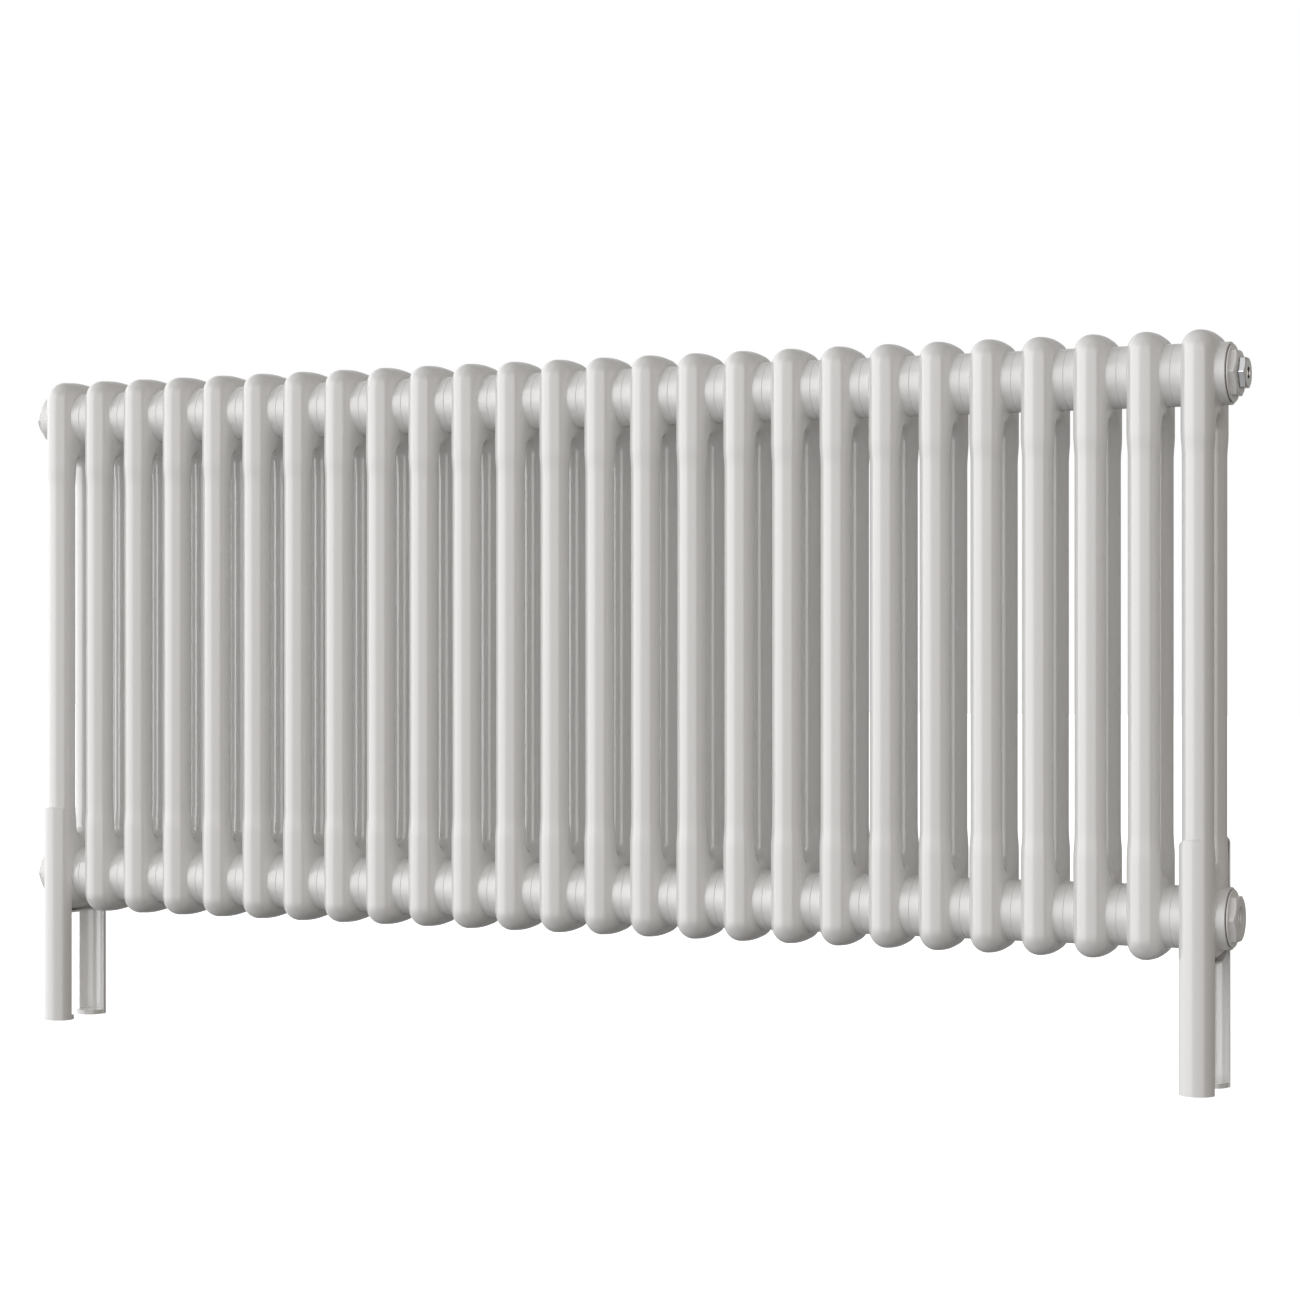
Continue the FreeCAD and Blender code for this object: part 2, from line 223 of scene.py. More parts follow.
def two_colours(material, factor, first, second):
    """Blends two colours by a factor."""
    mix = add_node(material, "ShaderNodeMix", data_type="RGBA")
    material.node_tree.links.new(factor, mix.inputs["Factor"])
    ends = {"A": (*first, 1), "B": (*second, 1)}
    for socket in mix.inputs:
        if socket.type == "RGBA":
            socket.default_value = ends[socket.name]
    return next(out for out in mix.outputs if out.type == "RGBA")


def link(material, source, shader, socket):
    """Feeds a shader's socket from another node."""
    material.node_tree.links.new(source, shader.inputs[socket])


def bump(material, shader, height, distance, strength=1.0):
    """Surface relief of a real height in metres."""
    node = add_node(material, "ShaderNodeBump",
                    {"Height": height, "Distance": distance, "Strength": strength})
    link(material, node.outputs["Normal"], shader, "Normal")


def powder_coat():
    """Smooth glossy white stove paint with the faintest orange peel."""
    material, shader = new_material("white_powder_coat")
    drift = object_noise(material, 9.0)
    link(material, two_colours(material, drift, (0.86, 0.853, 0.842), (0.88, 0.873, 0.862)),
         shader, "Base Color")
    link(material, between(material, object_noise(material, 140.0), 0.045, 0.075), shader, "Roughness")
    shader.inputs["IOR"].default_value = 1.6
    bump(material, shader, object_noise(material, 700.0, 1.0), 0.000004, 0.6)
    return material


def chrome():
    """Bright plated brass with fine polishing marks."""
    material, shader = new_material("chrome_plate")
    marks = object_noise(material, 900.0, 3.0, (1, 1, 6))
    link(material, two_colours(material, marks, (0.62, 0.63, 0.64), (0.72, 0.73, 0.74)), shader, "Base Color")
    link(material, between(material, marks, 0.05, 0.12), shader, "Roughness")
    shader.inputs["Metallic"].default_value = 1.0
    bump(material, shader, object_noise(material, 500.0), 0.000006, 0.5)
    return material


def plated_brass():
    """Dull nickel plating over brass, worn a little yellow."""
    material, shader = new_material("plated_brass")
    wear = object_noise(material, 1200.0, 3.0)
    link(material, two_colours(material, wear, (0.60, 0.57, 0.50), (0.70, 0.64, 0.50)), shader, "Base Color")
    link(material, between(material, wear, 0.18, 0.35), shader, "Roughness")
    shader.inputs["Metallic"].default_value = 1.0
    bump(material, shader, wear, 0.00001, 0.5)
    return material


def bare_steel():
    """Turned steel of the threaded end rings."""
    material, shader = new_material("bare_steel")
    grain = object_noise(material, 800.0, 3.0, (8, 1, 1))
    link(material, two_colours(material, grain, (0.36, 0.36, 0.37), (0.50, 0.50, 0.51)), shader, "Base Color")
    link(material, between(material, grain, 0.30, 0.45), shader, "Roughness")
    shader.inputs["Metallic"].default_value = 1.0
    bump(material, shader, grain, 0.00001, 0.6)
    return material


def fibre_gasket():
    """Compressed dark fibre."""
    material, shader = new_material("fibre_gasket")
    fibre = object_noise(material, 1500.0, 4.0)
    link(material, two_colours(material, fibre, (0.13, 0.12, 0.11), (0.20, 0.185, 0.17)),
         shader, "Base Color")
    link(material, between(material, fibre, 0.75, 0.95), shader, "Roughness")
    bump(material, shader, fibre, 0.00005, 0.6)
    return material


def pale_seal():
    """Off-white sealing ring."""
    material, shader = new_material("pale_seal")
    cloud = object_noise(material, 600.0)
    link(material, two_colours(material, cloud, (0.55, 0.54, 0.51), (0.62, 0.61, 0.58)), shader, "Base Color")
    link(material, between(material, cloud, 0.40, 0.55), shader, "Roughness")
    bump(material, shader, cloud, 0.00001, 0.5)
    return material


def black_rubber():
    """Soft black disc on the bleed screw's tip."""
    material, shader = new_material("black_rubber")
    cloud = object_noise(material, 900.0)
    link(material, two_colours(material, cloud, (0.015, 0.015, 0.015), (0.03, 0.03, 0.03)),
         shader, "Base Color")
    link(material, between(material, cloud, 0.55, 0.75), shader, "Roughness")
    bump(material, shader, cloud, 0.00001, 0.5)
    return material


FINISHES = {maker.__name__: maker for maker in
            (powder_coat, chrome, plated_brass, bare_steel, fibre_gasket, pale_seal, black_rubber)}
made_finishes = {}


def finish(name):
    """The finish of that name, made once."""
    if name not in made_finishes:
        made_finishes[name] = FINISHES[name]()
    return made_finishes[name]


# ---- pieces -----------------------------------------------------------------------------------
def mesh_object(name, points, faces):
    """Plain mesh object with merged doubles and faces that point outwards."""
    mesh = bpy.data.meshes.new(name)
    mesh.from_pydata([tuple(map(float, point)) for point in points], [], [list(map(int, f)) for f in faces])
    work = bmesh.new()
    work.from_mesh(mesh)
    bmesh.ops.remove_doubles(work, verts=work.verts, dist=1e-7)
    bmesh.ops.recalc_face_normals(work, faces=work.faces)
    work.to_mesh(mesh)
    work.free()
    thing = bpy.data.objects.new(name, mesh)
    bpy.context.scene.collection.objects.link(thing)
    return thing


def baked(thing):
    """Turns a modified object into a plain mesh object of the same name."""
    graph = bpy.context.evaluated_depsgraph_get()
    mesh = bpy.data.meshes.new_from_object(thing.evaluated_get(graph))
    old = thing.data
    thing.modifiers.clear()
    thing.data = mesh
    bpy.data.meshes.remove(old)
    mesh.name = thing.name
    return thing


def soften(thing, angle=35.0):
    """Smooth shading that keeps real edges crisp and flats flat."""
    thing.data.shade_smooth()
    thing.data.set_sharp_from_angle(angle=math.radians(angle))
    weighted = thing.modifiers.new("flats", "WEIGHTED_NORMAL")
    weighted.keep_sharp = True
    return baked(thing)


def cut_with(thing, cutter):
    """Takes the cutter's shape out of a piece when it is baked."""
    cut = thing.modifiers.new("cut", "BOOLEAN")
    cut.object = cutter
    cut.operation = "DIFFERENCE"
    cut.solver = "EXACT"


def ease_edges(thing, width, segments, least_turn=30.0):
    """Rounds the edges that turn by more than the least turn, in degrees, when a piece is baked."""
    ease = thing.modifiers.new("edges", "BEVEL")
    ease.width = width
    ease.segments = segments
    ease.limit_method = "ANGLE"
    ease.angle_limit = math.radians(least_turn)


def fit(thing, finish_name, nodes, body="radiator"):
    """Gives a finished piece its finish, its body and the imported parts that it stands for."""
    thing.data.materials.clear()
    thing.data.materials.append(finish(finish_name))
    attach(thing, body)
    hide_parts(*nodes)
    return thing


def hide_from_scene(thing):
    """Removes a helper object."""
    data = thing.data
    bpy.data.objects.remove(thing)
    bpy.data.meshes.remove(data)


# ---- the skin of one section ------------------------------------------------------------------
def soft_union(first, second, reach):
    """Smaller of two distances, blended where they are closer together than the reach."""
    share = np.clip(reach - np.abs(first - second), 0, None) / reach
    return np.minimum(first, second) - share * share * reach / 4


def distance_to_middle(y, height):
    """Distance in the plane of a section to its flat middle; height is above the hub's axis."""
    beyond_side = np.maximum(np.abs(y) - SHOULDER_AT, 0)
    bow = CREST_BOW * np.minimum(np.abs(y) / SHOULDER_AT, 1) ** 2
    beyond_top = np.maximum(height + bow - SHOULDER_AT, 0)
    outside = np.hypot(beyond_side, beyond_top) - SHOULDER_R
    bend = COLUMN_Y - np.hypot(y, height + CROTCH_DROP)
    web = np.where(height < 0, np.maximum(outside, bend), outside)
    legs = np.abs(np.abs(y) - COLUMN_Y)
    return np.where(height >= -CROTCH_DROP, np.maximum(web, 0), legs)


def skin_field(points):
    """Signed distance to the outside of a section at x = 0, less than nothing inside."""
    x, y, z = points[..., 0], points[..., 1], points[..., 2]
    height = np.abs(z - (TOP_Z + BOTTOM_Z) / 2) - (TOP_Z - BOTTOM_Z) / 2
    down = np.clip((-CROTCH_DROP - height) / HEAD_FADE, 0, 1)
    round_r = HEAD_R + (TUBE_R - HEAD_R) * down * down * (3 - 2 * down)
    head = np.hypot(x, distance_to_middle(y, height)) - round_r
    radial = np.hypot(y, height) - HUB_R + HUB_EDGE
    along = np.abs(x) - PITCH / 2 + HUB_EDGE
    hub = (np.minimum(np.maximum(radial, along), 0)
           + np.hypot(np.maximum(radial, 0), np.maximum(along, 0)) - HUB_EDGE)
    return soft_union(head, hub, HUB_FILLET)


def slope(points, step=1e-6):
    """Direction in which the skin's distance grows."""
    parts = []
    for axis in range(3):
        shift = np.zeros(3)
        shift[axis] = step
        parts.append((skin_field(points + shift) - skin_field(points - shift)) / (2 * step))
    return np.stack(parts, axis=-1)


def wrapped_surface(field, xs, ys, zs):
    """Quads around the zero surface of a field sampled on a grid, open at both ends in x.

    Each grid cell that the surface crosses gets one point, and each crossed grid edge one face.
    Returns points, faces and each point's cell number along x.
    """
    axes = (xs, ys, zs)
    grid = np.stack(np.meshgrid(*axes, indexing="ij"), axis=-1)
    value = field(grid)
    inside = value < 0
    cells = tuple(len(axis) - 1 for axis in axes)
    total, count = np.zeros((*cells, 3)), np.zeros(cells)
    crossings = []
    for axis in range(3):
        first = [slice(None)] * 3
        second = [slice(None)] * 3
        first[axis], second[axis] = slice(None, -1), slice(1, None)
        first, second = tuple(first), tuple(second)
        crossed = inside[first] != inside[second]
        span = np.where(crossed, value[first] - value[second], 1)
        share = (value[first] / span)[..., None]
        place = grid[first] + share * (grid[second] - grid[first])
        crossings.append((crossed, inside[first]))
        others = [other for other in range(3) if other != axis]
        for u in (0, 1):
            for v in (0, 1):
                near = [slice(None)] * 3
                near[others[0]] = slice(u, cells[others[0]] + u)
                near[others[1]] = slice(v, cells[others[1]] + v)
                near = tuple(near)
                total += np.where(crossed[near][..., None], place[near], 0)
                count += crossed[near]
    used = count > 0
    number = np.full(cells, -1)
    number[used] = np.arange(used.sum())
    points = total[used] / count[used][:, None]
    faces = []
    for axis in range(3):
        crossed, low_inside = crossings[axis]
        u, v = (axis + 1) % 3, (axis + 2) % 3
        spots = np.argwhere(crossed)
        keep = (spots[:, u] > 0) & (spots[:, u] < cells[u])
        keep &= (spots[:, v] > 0) & (spots[:, v] < cells[v])
        spots = spots[keep]
        corners = []
        for du, dv in ((1, 1), (0, 1), (0, 0), (1, 0)):
            cell = spots.copy()
            cell[:, u] -= du
            cell[:, v] -= dv
            corners.append(number[tuple(cell.T)])
        quads = np.stack(corners, axis=1)
        outward = low_inside[tuple(spots.T)]
        quads[~outward] = quads[~outward][:, ::-1]
        faces.append(quads)
    return points, np.concatenate(faces), np.argwhere(used)[:, 0]


def even_steps(start, stop, step):
    """Evenly spaced values from start to stop, near the wanted step."""
    return np.linspace(start, stop, max(2, round(abs(stop - start) / step) + 1))


def section_skin():
    """One section at x = 0: points, faces and normals of its closed outer skin."""
    half_x = np.concatenate([even_steps(0, FINE_FROM, CELL)[:-1],
                             even_steps(FINE_FROM, COLLAR_X + FINE_CELL / 2, FINE_CELL)])
    xs = np.concatenate([-half_x[:0:-1], half_x])
    wide = HEAD_HALF + CELL
    ys = even_steps(-wide, wide, CELL)
    head_reach = CROTCH_DROP + HEAD_FADE + CELL
    zs = np.concatenate([even_steps(BOTTOM_Z - wide, BOTTOM_Z + head_reach, CELL),
                         even_steps(TOP_Z - head_reach, TOP_Z + wide, CELL)])
    points, faces, column = wrapped_surface(skin_field, xs, ys, zs)
    for _ in range(6):
        lean = slope(points)
        size = np.maximum((lean ** 2).sum(axis=1), 0.25)
        points = points - lean * (skin_field(points) / size)[:, None]
    all_points, all_faces = [points], [faces]
    total = len(points)
    collar = [(PITCH / 2 - HUB_EDGE, HUB_R)]
    for degrees in (22.5, 45, 67.5, 90):
        turn = math.radians(degrees)
        collar.append((PITCH / 2 - HUB_EDGE + HUB_EDGE * math.sin(turn),
                       HUB_R - HUB_EDGE + HUB_EDGE * math.cos(turn)))
    collar.append((PITCH / 2, HUB_BORE_R))
    for side, cell in ((-1, 0), (1, len(xs) - 2)):
        for axis_z in (BOTTOM_Z, TOP_Z):
            loop = np.flatnonzero((column == cell) & (np.abs(points[:, 2] - axis_z) < 2 * HUB_R))
            angle = np.arctan2(points[loop, 2] - axis_z, points[loop, 1])
            order = np.argsort(angle)
            loop, angle = loop[order], angle[order]
            previous = loop
            for x, radius in collar:
                ring = np.stack([np.full(len(loop), side * x), radius * np.cos(angle),
                                 axis_z + radius * np.sin(angle)], axis=1)
                here = total + np.arange(len(loop))
                all_points.append(ring)
                total += len(loop)
                quads = np.stack([previous, np.roll(previous, -1), np.roll(here, -1), here], axis=1)
                all_faces.append(quads if side > 0 else quads[:, ::-1])
                previous = here
            all_points.append(np.array([[side * PITCH / 2, 0, axis_z]]))
            hub_centre = np.full(len(loop), total)
            total += 1
            fan = np.stack([previous, np.roll(previous, -1), hub_centre], axis=1)
            all_faces.append(fan if side > 0 else fan[:, ::-1])
    points = np.concatenate(all_points)
    normals = slope(points)
    normals /= np.linalg.norm(normals, axis=1)[:, None]
    return points, [face for block in all_faces for face in block.tolist()], normals


def row_tree(pattern, material):
    """Geometry Nodes: copies of one pattern set out in a row along X."""
    tree = bpy.data.node_groups.new("row_of_sections", "GeometryNodeTree")
    tree.interface.new_socket("Geometry", in_out="INPUT", socket_type="NodeSocketGeometry")
    sizes = (("Count", "NodeSocketInt"), ("Pitch", "NodeSocketFloat"), ("First X", "NodeSocketFloat"))
    for name, kind in sizes:
        tree.interface.new_socket(name, in_out="INPUT", socket_type=kind)
    tree.interface.new_socket("Geometry", in_out="OUTPUT", socket_type="NodeSocketGeometry")
    nodes, links = tree.nodes, tree.links
    given = nodes.new("NodeGroupInput")
    start = nodes.new("ShaderNodeCombineXYZ")
    links.new(given.outputs["First X"], start.inputs["X"])
    step = nodes.new("ShaderNodeCombineXYZ")
    links.new(given.outputs["Pitch"], step.inputs["X"])
    line = nodes.new("GeometryNodeMeshLine")
    links.new(given.outputs["Count"], line.inputs["Count"])
    links.new(start.outputs["Vector"], line.inputs["Start Location"])
    links.new(step.outputs["Vector"], line.inputs["Offset"])
    source = nodes.new("GeometryNodeObjectInfo")
    source.inputs["Object"].default_value = pattern
    place = nodes.new("GeometryNodeInstanceOnPoints")
    links.new(line.outputs["Mesh"], place.inputs["Points"])
    links.new(source.outputs["Geometry"], place.inputs["Instance"])
    real = nodes.new("GeometryNodeRealizeInstances")
    links.new(place.outputs["Instances"], real.inputs["Geometry"])
    coat = nodes.new("GeometryNodeSetMaterial")
    coat.inputs["Material"].default_value = material
    links.new(real.outputs["Geometry"], coat.inputs["Geometry"])
    result = nodes.new("NodeGroupOutput")
    links.new(coat.outputs["Geometry"], result.inputs["Geometry"])
    return tree


def set_input(modifier, name, value):
    """Sets a Geometry Nodes modifier's input by the socket's identifier."""
    for item in modifier.node_group.interface.items_tree:
        if item.item_type == "SOCKET" and item.in_out == "INPUT" and item.name == name:
            modifier[item.identifier] = value


def make_sections():
    """The welded row of sections, in a few pieces of several sections each."""
    points, faces, normals = section_skin()
    pattern = bpy.data.objects.new("section_pattern", bpy.data.meshes.new("section_pattern"))
    pattern.data.from_pydata(points.tolist(), [], faces)
    pattern.data.shade_smooth()
    bpy.context.scene.collection.objects.link(pattern)
    tree = row_tree(pattern, finish("powder_coat"))
    for start in range(0, len(SECTION_NODES), SECTIONS_PER_PIECE):
        nodes = SECTION_NODES[start:start + SECTIONS_PER_PIECE]
        name = "sections_%s_to_%s" % (nodes[0][-2:], nodes[-1][-2:])
        row = bpy.data.objects.new(name, bpy.data.meshes.new(name))
        bpy.context.scene.collection.objects.link(row)
        modifier = row.modifiers.new("row", "NODES")
        modifier.node_group = tree
        set_input(modifier, "Count", len(nodes))
        set_input(modifier, "Pitch", PITCH)
        set_input(modifier, "First X", FIRST_X + start * PITCH)
        baked(row)
        row.data.shade_smooth()
        row.data.normals_split_custom_set_from_vertices(np.tile(normals, (len(nodes), 1)).tolist())
        fit(row, "powder_coat", nodes)
    hide_from_scene(pattern)


# ---- turned pieces ----------------------------------------------------------------------------
def round_angles(count):
    """Even turns around a circle."""
    return np.linspace(0, 2 * math.pi, count, endpoint=False)


def hex_angles():
    """Turns around a hexagon, close together near its corners."""
    offsets = np.array([0, 1.2, 2.6, 4.5, 8, 15, 22.5, 30])
    sector = np.concatenate([offsets, 60 - offsets[-2:0:-1]])
    return np.radians(np.concatenate([sector + 60 * k for k in range(6)]))


def hex_radius(apothem, turns):
    """Radius of a hexagon with level flats above and below and slightly eased corners."""
    normals = np.radians(30 + 60 * np.arange(6))
    facing = np.clip(np.cos(turns[:, None] - normals[None, :]), 1e-3, None)
    return apothem / (facing ** HEX_CORNER).sum(axis=1) ** (1 / HEX_CORNER)


def turned(name, rows, turns, axis_z, left, closed=False):
    """Piece turned about a line along X.

    rows are (x, radius) pairs, each a number or one value for each turn.  A closed piece joins its
    last row to its first; on an open one, both ends are closed at the axis.
    """
    count = len(turns)
    points = []
    for x, radius in rows:
        x, radius = np.broadcast_to(x, count), np.broadcast_to(radius, count)
        points.append(np.stack([x, radius * np.cos(turns), radius * np.sin(turns)], axis=1))
    points = np.concatenate(points)
    if left:
        points[:, :2] *= -1
    points[:, 2] += axis_z
    ring = np.arange(count)
    faces = []
    for row in range(len(rows) if closed else len(rows) - 1):
        a, b = row * count, (row + 1) % len(rows) * count
        quads = np.stack([a + ring, a + np.roll(ring, -1), b + np.roll(ring, -1), b + ring], axis=1)
        faces += quads.tolist()
    return mesh_object(name, points, faces)


def eased_corner(x0, r0, x1, r1, x2, r2, steps=3):
    """Rows that round the corner at the middle point, from the first point to the last."""
    rows = []
    for share in np.linspace(0, 1, steps + 1):
        a, b, c = (1 - share) ** 2, 2 * share * (1 - share), share ** 2
        rows.append((a * x0 + b * x1 + c * x2, a * r0 + b * r1 + c * r2))
    return rows


def hex_rows(apothem, base_x, face_x, turns):
    """Rows up the sides of a chamfered hexagon and over its face to the flat crown."""
    radius = hex_radius(apothem, turns)
    crown_r = apothem * HEX_CROWN
    edge_x = face_x - (radius - crown_r) / HEX_CHAMFER_RUN
    ease = EDGE * 1.2
    rows = [(base_x, radius)]
    rows += eased_corner(edge_x - ease, radius, edge_x, radius,
                         edge_x + ease / HEX_CHAMFER_RUN, radius - ease)
    rows += eased_corner(face_x - ease / 2, crown_r + ease / 2 * HEX_CHAMFER_RUN, face_x, crown_r,
                         face_x, crown_r - ease)
    return rows


def thread_rows(radius, from_x, to_x, turns):
    """Rows of a helical thread cut outward into a bore, from one end to the other."""
    count = int(abs(to_x - from_x) / THREAD_PITCH * THREAD_STEPS)
    rows = []
    for x in np.linspace(from_x, to_x, count):
        phase = (x / THREAD_PITCH + turns / (2 * math.pi)) % 1
        groove = 1 - np.abs(2 * phase - 1)
        fade = np.clip(min(abs(x - from_x), abs(x - to_x)) / THREAD_PITCH, 0, 1)
        rows.append((x, radius + THREAD_DEPTH * fade * groove))
    return rows


def make_bush(level, end):
    """Reducing bush: plain stub, thin flange, chamfered hexagon and threaded port."""
    turns = hex_angles()
    axis_z = TOP_Z if level == "top" else BOTTOM_Z
    front = BUSH_SEAT_X + BUSH_FLANGE
    rows = [(BUSH_INNER_X, PORT_R + MOUTH_CHAMFER), (BUSH_INNER_X, BUSH_STUB_R - MOUTH_CHAMFER),
            (BUSH_INNER_X + MOUTH_CHAMFER, BUSH_STUB_R), (BUSH_SEAT_X, BUSH_STUB_R)]
    rows += eased_corner(BUSH_SEAT_X, BUSH_FLANGE_R - EDGE, BUSH_SEAT_X, BUSH_FLANGE_R,
                         BUSH_SEAT_X + EDGE, BUSH_FLANGE_R)
    rows += eased_corner(front - EDGE, BUSH_FLANGE_R, front, BUSH_FLANGE_R, front, BUSH_FLANGE_R - EDGE)
    rows += [(front, hex_radius(BUSH_APOTHEM, turns) + EDGE)]
    rows += hex_rows(BUSH_APOTHEM, front + EDGE, BUSH_FACE_X, turns)
    rows += [(BUSH_FACE_X, PORT_R + MOUTH_CHAMFER)]
    rows += thread_rows(PORT_R, BUSH_FACE_X - MOUTH_CHAMFER, BUSH_INNER_X + MOUTH_CHAMFER, turns)
    thing = turned("bush_%s_%s" % (level, end), rows, turns, axis_z, end == "left", closed=True)
    fit(soften(thing), "powder_coat", ["reducing_bush_%s_%s" % (level, end)])


def barrelled_ring(inner_x, outer_x, bore_r, rim_r):
    """Rows of a flat ring whose rim is rounded to a half circle by what squeezes it."""
    half = (outer_x - inner_x) / 2
    centre = inner_x + half
    rows = [(centre + half, bore_r), (centre - half, bore_r)]
    rows += [(centre - half * math.cos(turn), rim_r - half + half * math.sin(turn))
             for turn in np.linspace(0, math.pi, 7)]
    return rows


def make_hub_gasket(level, end):
    """Thin fibre ring squeezed between the hub and the bush."""
    axis_z = TOP_Z if level == "top" else BOTTOM_Z
    rows = barrelled_ring(BODY_END_X, BUSH_SEAT_X, RING_BORE_R + GASKET_CLEARANCE, GASKET_R)
    thing = turned("gasket_%s_%s" % (level, end), rows, round_angles(96), axis_z, end == "left", closed=True)
    fit(soften(thing, 60), "fibre_gasket", ["hub_gasket_%s_%s" % (level, end)])


def make_plug_seal(node, left):
    """Sealing ring, slightly barrelled by the plug that squeezes it."""
    rows = barrelled_ring(BUSH_FACE_X, PLUG_SEAT_X, PORT_R, SEAL_R)
    thing = turned(node.replace("ring", "washer"), rows, round_angles(72), TOP_Z, left, closed=True)
    fit(soften(thing, 60), "pale_seal", [node])


def plug_rows(turns):
    """Rows of a plug from the middle of its inner end to the edge of its flat crown."""
    rows = [(PLUG_INNER_X, 0), (PLUG_INNER_X, PLUG_STUB_R - MOUTH_CHAMFER),
            (PLUG_INNER_X + MOUTH_CHAMFER, PLUG_STUB_R), (PLUG_SEAT_X, PLUG_STUB_R)]
    rows += [(PLUG_SEAT_X, hex_radius(PLUG_APOTHEM, turns) - EDGE)]
    return rows + hex_rows(PLUG_APOTHEM, PLUG_SEAT_X + EDGE, PLUG_FACE_X, turns)


def make_plug():
    """Chrome blanking plug with a flat face."""
    turns = hex_angles()
    rows = plug_rows(turns) + [(PLUG_FACE_X, PLUG_APOTHEM * 0.5), (PLUG_FACE_X, 0)]
    thing = turned("chrome_blanking_plug", rows, turns, TOP_Z, True)
    fit(soften(thing), "chrome", ["blanking_plug"])


def make_vent():
    """Chrome vent: a plug with a recess round the bleed screw, its hole and a side outlet."""
    turns = hex_angles()
    floor_x = PLUG_FACE_X - RECESS
    seat_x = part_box("bleed_tip_seal")[0].x
    rows = plug_rows(turns)
    rows[0] = (PLUG_INNER_X, WATER_HOLE_R)
    rows += eased_corner(PLUG_FACE_X, RECESS_R + EDGE, PLUG_FACE_X, RECESS_R, PLUG_FACE_X - EDGE, RECESS_R)
    rows += [(floor_x, RECESS_R), (floor_x, SCREW_BORE_R), (seat_x, SCREW_BORE_R), (seat_x, WATER_HOLE_R)]
    thing = turned("chrome_air_vent", rows, turns, TOP_Z, False, closed=True)
    drill_rows = [(0, 0), (0, VENT_OUTLET_R), (PLUG_APOTHEM, VENT_OUTLET_R), (PLUG_APOTHEM, 0)]
    outlet = turned("outlet_drill", drill_rows, round_angles(32), 0, False)
    for vertex in outlet.data.vertices:
        x, y, z = vertex.co
        vertex.co = ((PLUG_SEAT_X + floor_x) / 2 + z, y, TOP_Z - VENT_OUTLET_START - x)
    cut_with(thing, outlet)
    baked(thing)
    hide_from_scene(outlet)
    fit(soften(thing), "chrome", ["air_vent_body"])


def box_mesh(name, low, high):
    """Plain box between two corners, for cutting and bevelling."""
    corners = [(x, y, z) for x in (low[0], high[0]) for y in (low[1], high[1]) for z in (low[2], high[2])]
    faces = [(0, 1, 3, 2), (4, 6, 7, 5), (0, 4, 5, 1), (2, 3, 7, 6), (0, 2, 6, 4), (1, 5, 7, 3)]
    return mesh_object(name, corners, faces)


def make_bleed_screw():
    """Bleed screw: threaded shank and square head with a slot across it."""
    low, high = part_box("bleed_screw")
    half = SCREW_HEAD_AF / 2
    head_x = high.x - SCREW_HEAD
    head = box_mesh("bleed_screw_head", (head_x, -half, TOP_Z - half), (high.x, half, TOP_Z + half))
    slot = box_mesh("slot_cutter", (high.x - SCREW_SLOT_DEPTH, -SCREW_SLOT / 2, TOP_Z - 2 * half),
                    (high.x + SCREW_SLOT_DEPTH, SCREW_SLOT / 2, TOP_Z + 2 * half))
    cut_with(head, slot)
    ease_edges(head, SCREW_EDGE, 3)
    baked(head)
    hide_from_scene(slot)
    turns = round_angles(32)
    rows = [(low.x, 0), (low.x, SCREW_CREST_R - SCREW_THREAD_DEPTH)]
    for x in np.linspace(low.x, head_x, SCREW_THREAD_ROWS):
        wave = np.abs(2 * ((x / SCREW_THREAD_PITCH + turns / (2 * math.pi)) % 1) - 1)
        rows.append((x, SCREW_CREST_R - SCREW_THREAD_DEPTH * wave))
    rows.append((head_x, 0))
    shank = turned("bleed_screw_shank", rows, turns, TOP_Z, False)
    fit(soften(head), "plated_brass", ["bleed_screw"], "vent_screw")
    shank.data.materials.append(finish("plated_brass"))
    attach(soften(shank, 50), "vent_screw")


# ---- feet -------------------------------------------------------------------------------------
def make_foot_shell(row, end):
    """Half-round sheet shell with two rounded upper corners."""
    side = -1 if row == "front" else 1
    centre_x = END_X if end == "right" else -END_X
    widest = math.acos((FOOT_OPEN_Y - FOOT_Y) / FOOT_OUT_R)
    angles = widest * np.sin(np.linspace(-math.pi / 2, math.pi / 2, FOOT_STRIPS + 1))
    straight = FOOT_OUT_R - FOOT_CORNER_R
    across = np.abs(FOOT_OUT_R * np.sin(angles))
    over = np.clip(across - straight, 0, FOOT_CORNER_R)
    tops = FOOT_TOP_Z - (FOOT_CORNER_R - np.sqrt(FOOT_CORNER_R ** 2 - over ** 2))
    points, faces = [], []
    for level in FOOT_LEVELS:
        for angle, top in zip(angles, tops):
            points.append((centre_x + FOOT_OUT_R * math.sin(angle),
                           side * (FOOT_Y + FOOT_OUT_R * math.cos(angle)), top * level))
    count = len(angles)
    for strip in range(len(FOOT_LEVELS) - 1):
        for k in range(count - 1):
            a = strip * count + k
            faces.append((a, a + count, a + count + 1, a + 1))
    thing = mesh_object("foot_%s_%s" % (row, end), points, faces)
    outside = thing.data.polygons[len(faces) // 2]
    if outside.normal.y * side < 0:
        thing.data.flip_normals()
    wall = thing.modifiers.new("wall", "SOLIDIFY")
    wall.thickness = FOOT_WALL
    wall.offset = -1
    wall.use_even_offset = True
    ease_edges(thing, SHEET_EDGE, 3, 50)
    baked(thing)
    fit(soften(thing, 40), "powder_coat", ["foot_shell_%s_%s" % (row, end)])


